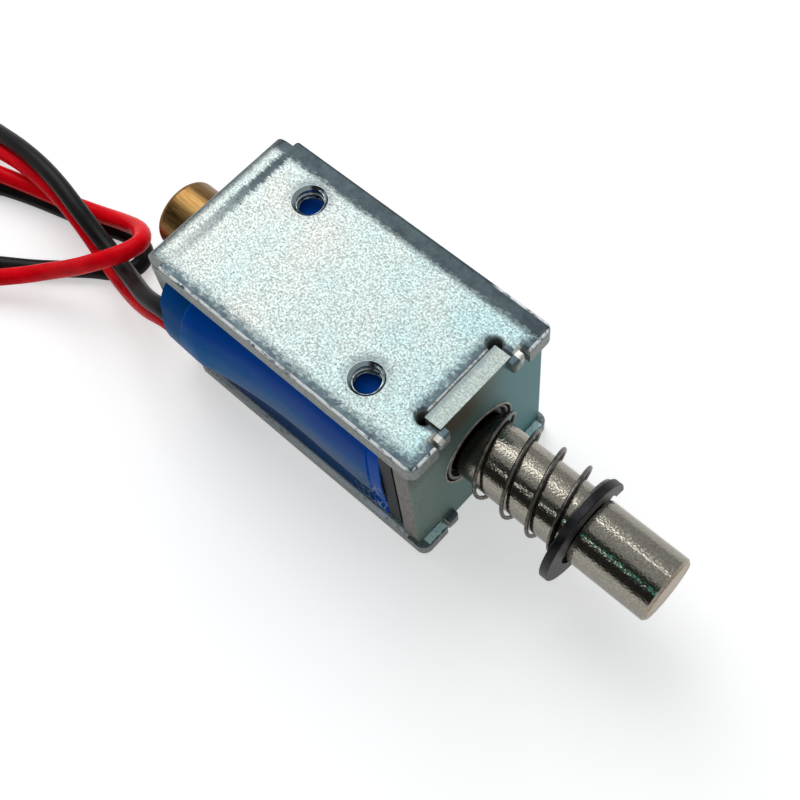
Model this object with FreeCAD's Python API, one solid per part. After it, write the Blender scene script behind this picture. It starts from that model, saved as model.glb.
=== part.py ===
import FreeCAD, Part
import math
import os

# Small open-frame push and pull solenoid, as used to drive a lock. Millimetres.
# The plunger runs along X and its tip points to +X. The frame stands on z = 0, and
# the origin is the middle of the bottom flange's outer face.

V = FreeCAD.Vector
X, Y, Z = V(1, 0, 0), V(0, 1, 0), V(0, 0, 1)
OVER = 1.0                   # how far a cutting tool runs past the face that it cuts

# Frame: one strip of sheet steel, bent to a channel that opens to +X
SHEET = 1.6
FRAME_LENGTH = 30.6
FRAME_WIDTH = 16.6
FRAME_HEIGHT = 18.4
BEND_INNER_R = 0.4
REAR_BEND_INSET = 0.7        # the strip is cut narrower where it bends
REAR_WALL_INSET = 0.6
REAR_SHOULDER = 2.8          # height of the bend before the rear wall widens
BEND_RELIEF = 0.7            # how far the narrow stretch runs on into the flanges
FLANGE_CORNER_R = 0.9
FLANGE_REAR_CORNER_R = 0.3
PUNCH_ROLL = 0.35            # rounded edge that the punch leaves on the outer faces

# Two tapped holes in the top flange, M3
TAP_CORE_R = 1.25
TAP_CHAMFER_R = 1.55
TAP_PITCH_X = 15.0
TAP_PITCH_Y = 9.0
TAP_FROM_REAR = 7.5

# Front plate, held by two tabs in notches of the flanges
PLATE_THICKNESS = 1.6
PLATE_RECESS = 0.9           # from the flanges' front edges
PLATE_INSET = 0.3            # from the flanges' side edges
PLATE_EDGE_R = 0.15
TAB_WIDTH = 8.1
TAB_PLAY = 0.05
NOTCH_RELIEF_R = 0.6
NOTCH_MOUTH_WIDTH = 10.6
STAKE_THICKNESS = 0.8
STAKE_GRIP = 0.4             # how far a stake reaches over the end of a tab
STAKE_GAP = 0.35             # from a stake to the side of the notch's mouth
STAKE_SINK = 0.15
STAKE_ROUND = 0.35

# Plunger, spring and clip
PLUNGER_R = 3.0
PLUNGER_LENGTH = 30.3
PLUNGER_OUT = 18.4           # from the frame's front edge to the tip
PLUNGER_CHAMFER = 0.25
INNER_END_CHAMFER = 0.5
STROKE = 8.0
CLIP_FROM_TIP = 7.7
CLIP_THICKNESS = 0.8
CLIP_R = 4.85
CLIP_OFFSET = 0.5            # its outline lies off the plunger's axis, away from the mouth
CLIP_POCKET_R = 3.4
CLIP_MOUTH = 3.7
CLIP_PRONG_WIDTH = 1.5
CLIP_PRONG_ANGLE = 68.0
CLIP_TURN = 20.0             # how far the mouth points below +Y
CLIP_EDGE_R = 0.12
GROOVE_R = 2.15
GROOVE_PLAY = 0.05
SPRING_WIRE = 0.35
SPRING_MEAN_R = 3.65
SPRING_ACTIVE_TURNS = 4.0
SPRING_CLOSED_TURNS = 0.75
SPRING_OFFSET = 0.4          # its front end lies off the plunger's axis, towards +Y
SPRING_SEAT_OFFSET = 0.06
SPRING_TILT = 0.9            # its coils lean forward on the side that faces -Y
SPRING_CORNERS_PER_TURN = 6
SPRING_RUN = 0.49            # share of a side that the arc at each corner takes

# Guide tube, its fixed core and the pad that stops the plunger
TUBE_PLAY = 0.05             # round the plunger
TUBE_WALL = 0.3
TUBE_TAIL = 6.25             # behind the rear wall
TUBE_RECESS = 0.4            # its mouth, behind the front plate's outer face
TUBE_ROLL_R = 0.6            # the tail is rolled over the core's edge
TUBE_ROLL_REACH = 0.5
FRAME_HOLE_PLAY = 0.05
CORE_PLAY = 0.02
PAD_THICKNESS = 0.5
PAD_GAP = 0.3                # left at full stroke

# Bobbin with its nose in the front plate, and the thin ring round the nose
BORE_RING_R = 4.15
BORE_RING_WALL = 0.2
BORE_RING_PROUD = 0.1
BORE_RING_LIP_R = 0.08
NOSE_PLAY = 0.05
BOBBIN_BORE_PLAY = 0.05
HUB_WALL = 0.8
BOBBIN_REAR_GAP = 0.1
BOBBIN_FRONT_GAP = 0.5
FRONT_FLANGE_THICKNESS = 1.4
REAR_FLANGE_THICKNESS = 1.2
FRONT_FLANGE_INSET = 0.5     # from the frame's side edges
FRONT_FLANGE_PLAY = 0.1      # to the frame's flanges
FRONT_FLANGE_CORNER_R = 1.0

# Winding and the tape round it
TAPE_INSET = 0.3             # from the frame's side edges
TAPE_PLAY = 0.2              # to the frame's flanges
TAPE_CORNER_R = 4.2
TAPE_THICKNESS = 0.25
TAPE_REAR_GAP = 0.4          # from the rear wall
TAPE_FRONT_GAP = 0.1         # from the bobbin's front flange
TAPE_LAYER = 0.1             # the outer layer, which stops short of the front
TAPE_LAYER_GAP = 1.3
WINDING_PLAY = 0.05
FILM_THICKNESS = 0.12

# Leads and the joints under the tape, on the side that faces -Y
LEAD_R = 0.85
STRAND_R = 0.4
TIP_LENGTH = 5.0
RED_EXIT_DROP = 0.6          # below the plunger's axis
EXIT_PITCH = 2.1             # between the two leads, where they leave
LEAD_COVER = 1.3             # how far the insulation reaches in under the tape
LEAD_RUN = 0.45              # share of a straight run that the arc at each bend takes
SPLICE_R = 0.45
SPLICE_LENGTH = 2.2
SLEEVE_WALL = 0.2
SLEEVE_PLAY = 0.03
SLEEVE_LAP = 0.3             # past the splice, at its front end
WIRE_R = 0.15
WIRE_DROP_RUN = 1.2          # over which the wire goes down to the winding
WIRE_LAY = 0.8
HUMP_PLAY = 0.06
HUMP_SKIRT = 1.5             # from a lead's side to where the tape meets the winding
HUMP_FRONT_X = -0.5
HUMP_STEPS = 5               # sections of its run-out
HUMP_FALL = 1.6              # how much faster it falls at first
HUMP_SINK = 0.6              # how far the bulge's outline reaches into the winding

# Places worked out from the sizes
REAR_X = -FRAME_LENGTH / 2
FRONT_X = FRAME_LENGTH / 2
WALL_X = REAR_X + SHEET                       # inner face of the rear wall
AXIS_Z = FRAME_HEIGHT / 2
ROOM_HEIGHT = FRAME_HEIGHT - 2 * SHEET        # between the flanges
REAR_BEND_WIDTH = FRAME_WIDTH - 2 * REAR_BEND_INSET
REAR_WALL_WIDTH = FRAME_WIDTH - 2 * REAR_WALL_INSET
PLATE_WIDTH = FRAME_WIDTH - 2 * PLATE_INSET
PLATE_FRONT_X = FRONT_X - PLATE_RECESS
PLATE_REAR_X = PLATE_FRONT_X - PLATE_THICKNESS
TIP_X = FRONT_X + PLUNGER_OUT
INNER_END_X = TIP_X - PLUNGER_LENGTH
CLIP_X = TIP_X - CLIP_FROM_TIP - CLIP_THICKNESS
TUBE_INNER_R = PLUNGER_R + TUBE_PLAY
TUBE_OUTER_R = TUBE_INNER_R + TUBE_WALL
TUBE_END_X = REAR_X - TUBE_TAIL
TUBE_MOUTH_X = PLATE_FRONT_X - TUBE_RECESS
PAD_FACE_X = INNER_END_X - STROKE - PAD_GAP
CORE_FACE_X = PAD_FACE_X - PAD_THICKNESS
BOBBIN_BORE_R = TUBE_OUTER_R + BOBBIN_BORE_PLAY
NOSE_R = BORE_RING_R - BORE_RING_WALL - NOSE_PLAY
HUB_R = BOBBIN_BORE_R + HUB_WALL
BOBBIN_REAR_X = WALL_X + BOBBIN_REAR_GAP
REAR_FLANGE_X = BOBBIN_REAR_X + REAR_FLANGE_THICKNESS
BOBBIN_FRONT_X = PLATE_REAR_X - BOBBIN_FRONT_GAP
FRONT_FLANGE_X = BOBBIN_FRONT_X - FRONT_FLANGE_THICKNESS
FRONT_FLANGE_WIDTH = FRAME_WIDTH - 2 * FRONT_FLANGE_INSET
FRONT_FLANGE_HEIGHT = ROOM_HEIGHT - 2 * FRONT_FLANGE_PLAY
TAPE_WIDTH = FRAME_WIDTH - 2 * TAPE_INSET
TAPE_HEIGHT = ROOM_HEIGHT - 2 * TAPE_PLAY
TAPE_REAR_X = WALL_X + TAPE_REAR_GAP
TAPE_FRONT_X = FRONT_FLANGE_X - TAPE_FRONT_GAP
TAPE_SIDE_Y = -TAPE_WIDTH / 2 + TAPE_THICKNESS      # inner face of the tape, -Y side
FILM_Y = TAPE_SIDE_Y + WINDING_PLAY - FILM_THICKNESS
LEAD_Y = FILM_Y - LEAD_R
LEAD_END_X = TAPE_REAR_X + LEAD_COVER
RED_EXIT_Z = AXIS_Z - RED_EXIT_DROP
BLACK_EXIT_Z = RED_EXIT_Z + EXIT_PITCH
JOINT_FRONT_X = LEAD_END_X + SPLICE_LENGTH
TAP_X = REAR_X + TAP_FROM_REAR
TAP_HOLES = [(TAP_X, TAP_PITCH_Y / 2), (TAP_X + TAP_PITCH_X, -TAP_PITCH_Y / 2)]
SPRING_SEAT_X = TUBE_MOUTH_X

# Routes of the two leads, from the joint under the tape to the bare end. X and Y are measured
# from where the leads leave the tape, Z from the ground. Each one runs back, turns round, comes
# back under itself, loops over itself beside the frame and runs off. Where nothing is under a
# lead, it lies on the surface.
FLOOR = LEAD_R
RED_ROUTE = [
    (LEAD_COVER, 0, RED_EXIT_Z), (-1.2, 0, RED_EXIT_Z), (-4.8, -0.13, 6.7), (-9.2, 0.67, 4.3),
    (-14.0, 1.77, 2.9), (-17.2, 2.57, 3.3), (-20.0, 3.07, 4.2), (-23.1, 3.47, 4.6), (-26.8, 3.67, 4.5),
    (-30.5, 3.57, 4.0), (-34.1, 3.27, 3.0), (-38.1, 3.07, 1.7), (-42.3, 3.77, FLOOR),
    (-46.7, 3.47, FLOOR), (-49.9, 0.77, FLOOR), (-49.8, -3.03, FLOOR), (-46.5, -5.53, FLOOR),
    (-42.1, -4.53, 1.2), (-37.7, -1.73, 2.2), (-33.5, 0.87, 2.6), (-29.5, 2.17, 2.6), (-25.5, 3.27, 2.6),
    (-22.0, 4.17, 2.6), (-18.8, 5.07, 2.9), (-15.5, 5.67, 4.0), (-12.1, 5.67, 5.9), (-9.8, 4.27, 7.6),
    (-9.9, 2.17, 8.2), (-11.4, 0.37, 7.6), (-14.1, -1.23, 5.6), (-17.2, -2.73, 3.6), (-19.7, -4.53, 2.5),
    (-22.3, -6.73, 2.0), (-25.7, -9.13, 1.3), (-29.5, -11.03, FLOOR), (-33.9, -12.23, FLOOR),
    (-38.5, -12.53, FLOOR), (-43.1, -12.93, FLOOR), (-47.3, -12.33, FLOOR),
]
BLACK_ROUTE = [
    (LEAD_COVER, 0, BLACK_EXIT_Z), (-1.0, 0, BLACK_EXIT_Z), (-4.2, 0.07, 9.0), (-8.6, 1.27, 6.4),
    (-12.8, 2.27, 4.9), (-15.8, 2.77, 5.2), (-18.5, 3.17, 6.1), (-21.6, 3.77, 6.5), (-25.2, 4.27, 6.3),
    (-28.9, 4.47, 5.8), (-32.7, 4.47, 4.9), (-36.7, 4.57, 3.6), (-40.9, 5.67, 2.0), (-45.3, 6.47, 0.9),
    (-49.7, 5.27, FLOOR), (-52.6, 1.67, FLOOR), (-52.5, -3.13, FLOOR), (-49.5, -6.93, FLOOR),
    (-44.7, -7.93, FLOOR), (-39.9, -5.93, FLOOR), (-35.7, -2.33, FLOOR), (-31.9, 0.87, FLOOR),
    (-28.1, 2.27, FLOOR), (-24.7, 3.27, FLOOR), (-21.3, 4.17, FLOOR), (-18.7, 4.87, FLOOR),
    (-16.7, 5.67, FLOOR), (-14.6, 6.07, FLOOR), (-13.0, 5.37, FLOOR), (-12.6, 3.57, FLOOR),
    (-13.9, 1.97, FLOOR), (-15.8, 0.87, FLOOR), (-18.1, -0.93, FLOOR), (-20.5, -2.83, FLOOR),
    (-23.4, -4.73, FLOOR), (-26.9, -7.03, FLOOR), (-30.9, -9.13, FLOOR), (-35.3, -10.23, FLOOR),
    (-39.7, -10.43, FLOOR), (-44.3, -10.93, FLOOR), (-48.5, -10.33, FLOOR),
]


def save(name, shape):
    """Write one sub-part, after making sure that it is sound."""
    if not shape.isValid():
        raise ValueError(name + " is not a valid solid")
    shape.exportStep("parts/" + name + ".step")
    print(name, "solids", len(shape.Solids), "volume", round(shape.Volume, 2))


def box(x0, x1, y0, y1, z0, z1):
    """A block between two corners."""
    return Part.makeBox(x1 - x0, y1 - y0, z1 - z0, V(x0, y0, z0))


def rod(radius, x0, x1, y=0.0, z=AXIS_Z):
    """A round bar along X."""
    return Part.makeCylinder(radius, x1 - x0, V(x0, y, z), X)


def ring(outer_r, inner_r, x0, x1, y=0.0, z=AXIS_Z):
    """A sleeve along X."""
    return rod(outer_r, x0, x1, y, z).cut(rod(inner_r, x0 - OVER, x1 + OVER, y, z))


def turned(profile):
    """The solid that an outline of (x, radius) points sweeps round the plunger's axis."""
    points = [V(x, 0, AXIS_Z + r) for x, r in profile]
    face = Part.Face(Part.makePolygon(points + [points[0]]))
    return face.revolve(V(0, 0, AXIS_Z), X, 360)


def rounded_bar(x0, x1, width, height, corner_r):
    """A bar along X with rounded long edges, centred on the plunger's axis."""
    bar = box(x0, x1, -width / 2, width / 2, AXIS_Z - height / 2, AXIS_Z + height / 2)
    return bar.makeFillet(corner_r, edges_along(bar, X))


def edges_along(shape, axis, where=None):
    """The straight edges that run along an axis, and that pass a test of their middle."""
    found = []
    for edge in shape.Edges:
        if edge.Curve.TypeId != "Part::GeomLine":
            continue
        if abs(abs(edge.tangentAt(edge.FirstParameter).dot(axis)) - 1) > 1e-6:
            continue
        if where is None or where(edge.CenterOfMass):
            found.append(edge)
    return found


def channel():
    """The bent strip before its outline is cut."""
    strip = box(REAR_X, FRONT_X, -FRAME_WIDTH / 2, FRAME_WIDTH / 2, 0, FRAME_HEIGHT)
    strip = strip.makeFillet(BEND_INNER_R + SHEET, edges_along(strip, Y, lambda c: c.x < 0))
    room = box(WALL_X, FRONT_X + OVER, -FRAME_WIDTH, FRAME_WIDTH, SHEET, FRAME_HEIGHT - SHEET)
    room = room.makeFillet(BEND_INNER_R, edges_along(room, Y, lambda c: c.x < 0))
    return strip.cut(room)


def strip_outline():
    """What the punch leaves of the strip, seen from above."""
    waist_x = WALL_X + BEND_RELIEF
    flanges = box(waist_x, FRONT_X, -FRAME_WIDTH / 2, FRAME_WIDTH / 2, -OVER, FRAME_HEIGHT + OVER)
    flanges = flanges.makeFillet(FLANGE_CORNER_R, edges_along(flanges, Z, lambda c: c.x > 0))
    flanges = flanges.makeFillet(FLANGE_REAR_CORNER_R, edges_along(
        flanges, Z, lambda c: abs(c.x - waist_x) < FLANGE_REAR_CORNER_R))
    half = REAR_BEND_WIDTH / 2
    waist = box(REAR_X - OVER, waist_x + OVER, -half, half, -OVER, FRAME_HEIGHT + OVER)
    half = REAR_WALL_WIDTH / 2
    wall = box(REAR_X - OVER, WALL_X, -half, half, REAR_SHOULDER, FRAME_HEIGHT - REAR_SHOULDER)
    return flanges.fuse([waist, wall])


def roll_edges(frame):
    """Round the outer edges of both flanges and of their notches, as the punch does."""
    def outside(edge):
        flat = edge.BoundBox.ZLength < 1e-6
        z = edge.BoundBox.ZMin
        return flat and (abs(z) < 1e-6 or abs(z - FRAME_HEIGHT) < 1e-6) and (
            edge.CenterOfMass.x > WALL_X + BEND_RELIEF)
    return frame.makeFillet(PUNCH_ROLL, [e for e in frame.Edges if outside(e)])


def notch(z0, z1):
    """The slot in a flange's front edge that takes a tab of the front plate."""
    half = TAB_WIDTH / 2 + TAB_PLAY
    back_x = PLATE_REAR_X - TAB_PLAY
    slot = box(back_x, FRONT_X + OVER, -half, half, z0, z1)
    mouth = box(PLATE_FRONT_X + TAB_PLAY, FRONT_X + OVER,
                -NOTCH_MOUTH_WIDTH / 2, NOTCH_MOUTH_WIDTH / 2, z0, z1)
    reliefs = [Part.makeCylinder(NOTCH_RELIEF_R, z1 - z0, V(back_x, side * half, z0), Z)
               for side in (-1, 1)]
    return slot.fuse([mouth] + reliefs)


def stakes(z0, z1):
    """The two lugs that are pushed over a tab's ends, rounded in front."""
    lugs = []
    for side in (-1, 1):
        inner = side * (TAB_WIDTH / 2 - STAKE_GRIP)
        outer = side * (NOTCH_MOUTH_WIDTH / 2 - STAKE_GAP)
        lug = box(PLATE_FRONT_X, PLATE_FRONT_X + STAKE_THICKNESS,
                  min(inner, outer), max(inner, outer), z0, z1)
        tip_x = PLATE_FRONT_X + STAKE_THICKNESS
        lugs.append(lug.makeFillet(STAKE_ROUND, [e for e in lug.Edges if e.BoundBox.XMin > tip_x - 1e-6]))
    return lugs


def frame_bracket():
    frame = channel().common(strip_outline())
    frame = frame.cut(rod(TUBE_OUTER_R + FRAME_HOLE_PLAY, REAR_X - OVER, WALL_X + OVER))
    low, high = (0, SHEET), (FRAME_HEIGHT - SHEET, FRAME_HEIGHT)
    for z0, z1 in (low, high):
        frame = frame.cut(notch(z0 - OVER, z1 + OVER))
    frame = roll_edges(frame.removeSplitter())
    for x, y in TAP_HOLES:
        tap = Part.makeCylinder(TAP_CORE_R, SHEET + 2 * OVER, V(x, y, FRAME_HEIGHT - SHEET - OVER), Z)
        depth = TAP_CHAMFER_R - TAP_CORE_R
        mouth = Part.makeCone(TAP_CORE_R, TAP_CHAMFER_R + OVER, depth + OVER,
                              V(x, y, FRAME_HEIGHT - depth), Z)
        frame = frame.cut(tap.fuse(mouth))
    for z0, z1 in ((STAKE_SINK, SHEET - STAKE_SINK),
                   (FRAME_HEIGHT - SHEET + STAKE_SINK, FRAME_HEIGHT - STAKE_SINK)):
        frame = frame.fuse(stakes(z0, z1))
    return frame.removeSplitter()


def front_plate():
    plate = box(PLATE_REAR_X, PLATE_FRONT_X, -PLATE_WIDTH / 2, PLATE_WIDTH / 2,
                SHEET, FRAME_HEIGHT - SHEET)
    plate = plate.makeFillet(PLATE_EDGE_R, edges_along(plate, Z, lambda c: c.x > PLATE_REAR_X))
    tabs = box(PLATE_REAR_X, PLATE_FRONT_X, -TAB_WIDTH / 2, TAB_WIDTH / 2, 0, FRAME_HEIGHT)
    plate = plate.fuse(tabs).removeSplitter()
    return plate.cut(rod(BORE_RING_R, PLATE_REAR_X - OVER, PLATE_FRONT_X + OVER))


def bore_ring():
    front = PLATE_FRONT_X + BORE_RING_PROUD
    liner = ring(BORE_RING_R, BORE_RING_R - BORE_RING_WALL, PLATE_REAR_X, front)
    return liner.makeFillet(BORE_RING_LIP_R, [
        e for e in liner.Edges if e.BoundBox.XMin > front - 1e-6])


def tape_core(x0, x1, grow=0.0):
    """The rounded bar that the tape is wound on, or grown by a layer."""
    width = TAPE_WIDTH - 2 * (TAPE_THICKNESS - grow)
    height = TAPE_HEIGHT - 2 * (TAPE_THICKNESS - grow)
    return rounded_bar(x0, x1, width, height, TAPE_CORNER_R - TAPE_THICKNESS + grow)


def bobbin():
    rear = tape_core(BOBBIN_REAR_X, REAR_FLANGE_X, -WINDING_PLAY)
    front = rounded_bar(FRONT_FLANGE_X, BOBBIN_FRONT_X, FRONT_FLANGE_WIDTH,
                        FRONT_FLANGE_HEIGHT, FRONT_FLANGE_CORNER_R)
    hub = rod(HUB_R, REAR_FLANGE_X, FRONT_FLANGE_X)
    nose = rod(NOSE_R, BOBBIN_FRONT_X, TUBE_MOUTH_X)
    solid = hub.fuse([rear, front, nose]).removeSplitter()
    return solid.cut(rod(BOBBIN_BORE_R, BOBBIN_REAR_X - OVER, TUBE_MOUTH_X + OVER))


def coil_winding():
    winding = tape_core(REAR_FLANGE_X, FRONT_FLANGE_X, -WINDING_PLAY)
    return winding.cut(rod(HUB_R, REAR_FLANGE_X - OVER, FRONT_FLANGE_X + OVER))


def joint_film():
    """The strip of film that keeps the joints off the winding."""
    low = RED_EXIT_Z - LEAD_R
    high = BLACK_EXIT_Z + LEAD_R
    return box(TAPE_REAR_X, JOINT_FRONT_X, FILM_Y, FILM_Y + FILM_THICKNESS, low, high)


def hump_section(x, crown, margin):
    """A closed outline across X: the tape runs up a flank, round each lead and over both."""
    radius = LEAD_R + margin
    foot = V(x, TAPE_SIDE_Y - margin + HUMP_SINK / 2, RED_EXIT_Z - radius - HUMP_SKIRT)
    centre = V(x, crown + radius, RED_EXIT_Z)
    reach = centre - foot
    slope = math.atan2(-reach.y, reach.z) + math.asin(radius / reach.Length)
    lean = slope / 2
    low = [foot]
    for angle in (slope, (slope + lean) / 2, lean):
        low.append(centre - (Y * math.cos(angle) + Z * math.sin(angle)) * radius)
    high = [V(p.x, p.y, RED_EXIT_Z + BLACK_EXIT_Z - p.z) for p in reversed(low)]
    spread = EXIT_PITCH / 2 / math.sin(lean)
    top = V(x, crown - spread * (1 - math.cos(lean)), RED_EXIT_Z + EXIT_PITCH / 2)
    base = [V(x, TAPE_SIDE_Y + HUMP_SINK, p.z) for p in (high[-1], foot)]
    edges = [Part.LineSegment(low[0], low[1]), Part.Arc(*low[1:]), Part.Arc(low[-1], top, high[0]),
             Part.Arc(*high[:3]), Part.LineSegment(high[2], high[3]), Part.LineSegment(high[3], base[0]),
             Part.LineSegment(base[0], base[1]), Part.LineSegment(base[1], foot)]
    return Part.Wire([edge.toShape() for edge in edges])


def hump(margin, x0):
    """The bulge over the joints, full at the rear and run out towards the front."""
    crown = LEAD_Y - LEAD_R - margin
    full_x = JOINT_FRONT_X + SLEEVE_LAP + HUMP_PLAY
    sections = []
    for step in range(HUMP_STEPS + 1):
        share = step / HUMP_STEPS
        fall = (1 - (1 - share) ** HUMP_FALL) * (TAPE_SIDE_Y - margin - crown)
        sections.append(hump_section(full_x + (HUMP_FRONT_X - full_x) * share, crown + fall, margin))
    full = Part.Face(hump_section(x0, crown, margin)).extrude(X * (full_x - x0))
    return full.fuse(Part.makeLoft(sections, True, True))


def tape_wrap():
    outer = tape_core(TAPE_REAR_X, TAPE_FRONT_X - TAPE_LAYER_GAP, TAPE_THICKNESS)
    outer = outer.fuse([tape_core(TAPE_REAR_X, TAPE_FRONT_X, TAPE_THICKNESS - TAPE_LAYER),
                        hump(HUMP_PLAY + TAPE_THICKNESS, TAPE_REAR_X)])
    inner = tape_core(TAPE_REAR_X - OVER, TAPE_FRONT_X + OVER)
    inner = inner.fuse(hump(HUMP_PLAY, TAPE_REAR_X - OVER))
    return outer.cut(inner)


def guide_tube():
    """Thin tube, open in front, whose tail is rolled in over the core's edge."""
    tube = turned([(TUBE_END_X, TUBE_INNER_R - TUBE_ROLL_REACH), (TUBE_END_X, TUBE_OUTER_R),
                   (TUBE_MOUTH_X, TUBE_OUTER_R), (TUBE_MOUTH_X, TUBE_INNER_R),
                   (TUBE_END_X + TUBE_WALL, TUBE_INNER_R),
                   (TUBE_END_X + TUBE_WALL, TUBE_INNER_R - TUBE_ROLL_REACH)])
    return tube.makeFillet(TUBE_ROLL_R, [
        e for e in tube.Edges if e.BoundBox.XMax < TUBE_END_X + 1e-6
        and e.BoundBox.ZMax > AXIS_Z + TUBE_OUTER_R - 1e-6])


def fixed_core():
    radius = TUBE_INNER_R - CORE_PLAY
    rear_x = TUBE_END_X + TUBE_WALL
    return turned([(rear_x, 0), (rear_x, radius - TUBE_ROLL_R / 2),
                   (rear_x + TUBE_ROLL_R / 2, radius), (CORE_FACE_X, radius), (CORE_FACE_X, 0)])


def damper_pad():
    return rod(TUBE_INNER_R - CORE_PLAY, CORE_FACE_X, PAD_FACE_X)


def plunger():
    groove_x0 = CLIP_X - GROOVE_PLAY
    groove_x1 = CLIP_X + CLIP_THICKNESS + GROOVE_PLAY
    return turned([
        (INNER_END_X, 0), (INNER_END_X, PLUNGER_R - INNER_END_CHAMFER),
        (INNER_END_X + INNER_END_CHAMFER, PLUNGER_R), (groove_x0, PLUNGER_R), (groove_x0, GROOVE_R),
        (groove_x1, GROOVE_R), (groove_x1, PLUNGER_R), (TIP_X - PLUNGER_CHAMFER, PLUNGER_R),
        (TIP_X, PLUNGER_R - PLUNGER_CHAMFER), (TIP_X, 0)])


def e_clip():
    """A ring with three prongs in the groove and a mouth that it is pushed on by."""
    x0, x1 = CLIP_X, CLIP_X + CLIP_THICKNESS
    seat_r = GROOVE_R + GROOVE_PLAY
    clip = rod(CLIP_R, x0, x1, -CLIP_OFFSET).cut(rod(CLIP_POCKET_R, x0 - OVER, x1 + OVER))
    middle_r = (CLIP_R + CLIP_POCKET_R) / 2
    for angle in (-CLIP_PRONG_ANGLE, CLIP_PRONG_ANGLE, 180):
        prong = box(x0, x1, 0, middle_r, AXIS_Z - CLIP_PRONG_WIDTH / 2, AXIS_Z + CLIP_PRONG_WIDTH / 2)
        prong.rotate(V(0, 0, AXIS_Z), X, angle)
        clip = clip.fuse(prong)
    clip = clip.cut(rod(seat_r, x0 - OVER, x1 + OVER))
    mouth = box(x0 - OVER, x1 + OVER, 0, CLIP_R + OVER, AXIS_Z - CLIP_MOUTH / 2, AXIS_Z + CLIP_MOUTH / 2)
    clip = clip.cut(mouth).removeSplitter()
    rim = [e for e in clip.Edges if e.Curve.TypeId == "Part::GeomCircle"
           and abs(e.Curve.Radius - CLIP_R) < 1e-6]
    clip = clip.makeFillet(CLIP_EDGE_R, rim)
    clip.rotate(V(0, 0, AXIS_Z), X, -CLIP_TURN)
    return clip


def return_spring():
    """Round wire wound about X. Its end turns are closed and its open turns lean a little."""
    x0 = SPRING_SEAT_X + SPRING_WIRE / 2
    x1 = CLIP_X - SPRING_WIRE / 2
    closed = SPRING_CLOSED_TURNS * SPRING_WIRE
    turns = SPRING_ACTIVE_TURNS + 2 * SPRING_CLOSED_TURNS
    steps = round(turns * SPRING_CORNERS_PER_TURN)
    corner_r = SPRING_MEAN_R / math.cos(math.pi / SPRING_CORNERS_PER_TURN)
    corners = []
    for step in range(-1, steps + 1):
        turn = (step + 0.5) * turns / steps
        angle = 2 * math.pi * turn
        share = min(max((turn - SPRING_CLOSED_TURNS) / SPRING_ACTIVE_TURNS, 0), 1)
        wound = min(turn, SPRING_CLOSED_TURNS) + max(turn - turns + SPRING_CLOSED_TURNS, 0)
        tilt = SPRING_TILT * math.sin(math.pi * share) ** 0.5 * (1 - math.cos(angle)) / 2
        x = x0 + wound * SPRING_WIRE + share * (x1 - x0 - 2 * closed) + tilt
        y = SPRING_SEAT_OFFSET + (SPRING_OFFSET - SPRING_SEAT_OFFSET) * share + corner_r * math.cos(angle)
        corners.append(V(x, y, AXIS_Z + corner_r * math.sin(angle)))
    path = Part.Wire(rounded_path(corners, SPRING_RUN).Edges[1:-1])
    first = path.Edges[0]
    start = Part.Circle(first.valueAt(first.FirstParameter), first.tangentAt(first.FirstParameter),
                        SPRING_WIRE / 2)
    return path.makePipeShell([Part.Wire(start.toShape())], True, True)


def rounded_path(points, share):
    """Straight runs joined by tangent arcs, each of which takes a share of the runs beside it."""
    edges, here = [], points[0]
    for before, corner, after in zip(points, points[1:], points[2:]):
        back, on = before - corner, after - corner
        run = share * min(back.Length, on.Length)
        turn = math.pi - back.getAngle(on)
        radius = run / math.tan(turn / 2)
        back.normalize()
        on.normalize()
        start, end = corner + back * run, corner + on * run
        inward = back + on
        inward.normalize()
        middle = corner + inward * (radius / math.cos(turn / 2) - radius)
        edges += [Part.LineSegment(here, start), Part.Arc(start, middle, end)]
        here = end
    edges.append(Part.LineSegment(here, points[-1]))
    return Part.Wire([edge.toShape() for edge in edges])


def lead_points(route):
    return [V(TAPE_REAR_X + x, LEAD_Y + y, z) for x, y, z in route]


def lead(name, route):
    """One insulated lead along its route, with the length that it should have."""
    path = rounded_path(lead_points(route), LEAD_RUN)
    start = V(LEAD_END_X, LEAD_Y, route[0][2])
    section = Part.Wire(Part.Circle(start, X, LEAD_R).toShape())
    tube = path.makePipeShell([section], True, True)
    radii = [e.Curve.Radius for e in path.Edges if e.Curve.TypeId == "Part::GeomCircle"]
    expected = math.pi * LEAD_R ** 2 * path.Length
    print(name, "length", round(path.Length, 1), "tightest bend", round(min(radii), 1),
          "volume against section times length", round(tube.Volume / expected, 4))
    return tube


def tip(route):
    """The bare strands at the far end of a lead."""
    before, end = lead_points(route)[-2:]
    return Part.makeCylinder(STRAND_R, TIP_LENGTH, end, end - before)


def splice(z):
    """The soldered joint of a lead and a winding end."""
    bar = rod(SPLICE_R, LEAD_END_X, JOINT_FRONT_X, LEAD_Y, z)
    return bar.makeFillet(SPLICE_R / 2, [e for e in bar.Edges if e.BoundBox.XMin > JOINT_FRONT_X - 1e-6])


def sleeve(z):
    inner_r = SPLICE_R + SLEEVE_PLAY
    return ring(inner_r + SLEEVE_WALL, inner_r, LEAD_END_X, JOINT_FRONT_X + SLEEVE_LAP, LEAD_Y, z)


def winding_end(z):
    """The wire from a joint down to the winding."""
    start = V(JOINT_FRONT_X, LEAD_Y, z)
    bend = V(JOINT_FRONT_X + SLEEVE_LAP + WIRE_R, LEAD_Y, z)
    end = V(bend.x + WIRE_DROP_RUN, TAPE_SIDE_Y + WINDING_PLAY - WIRE_R, z)
    last = V(end.x + WIRE_LAY, end.y, z)
    edges = [Part.LineSegment(a, b).toShape() for a, b in ((start, bend), (bend, end), (end, last))]
    section = Part.Wire(Part.Circle(start, X, WIRE_R).toShape())
    return Part.Wire(edges).makePipeShell([section], True, False)


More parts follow.
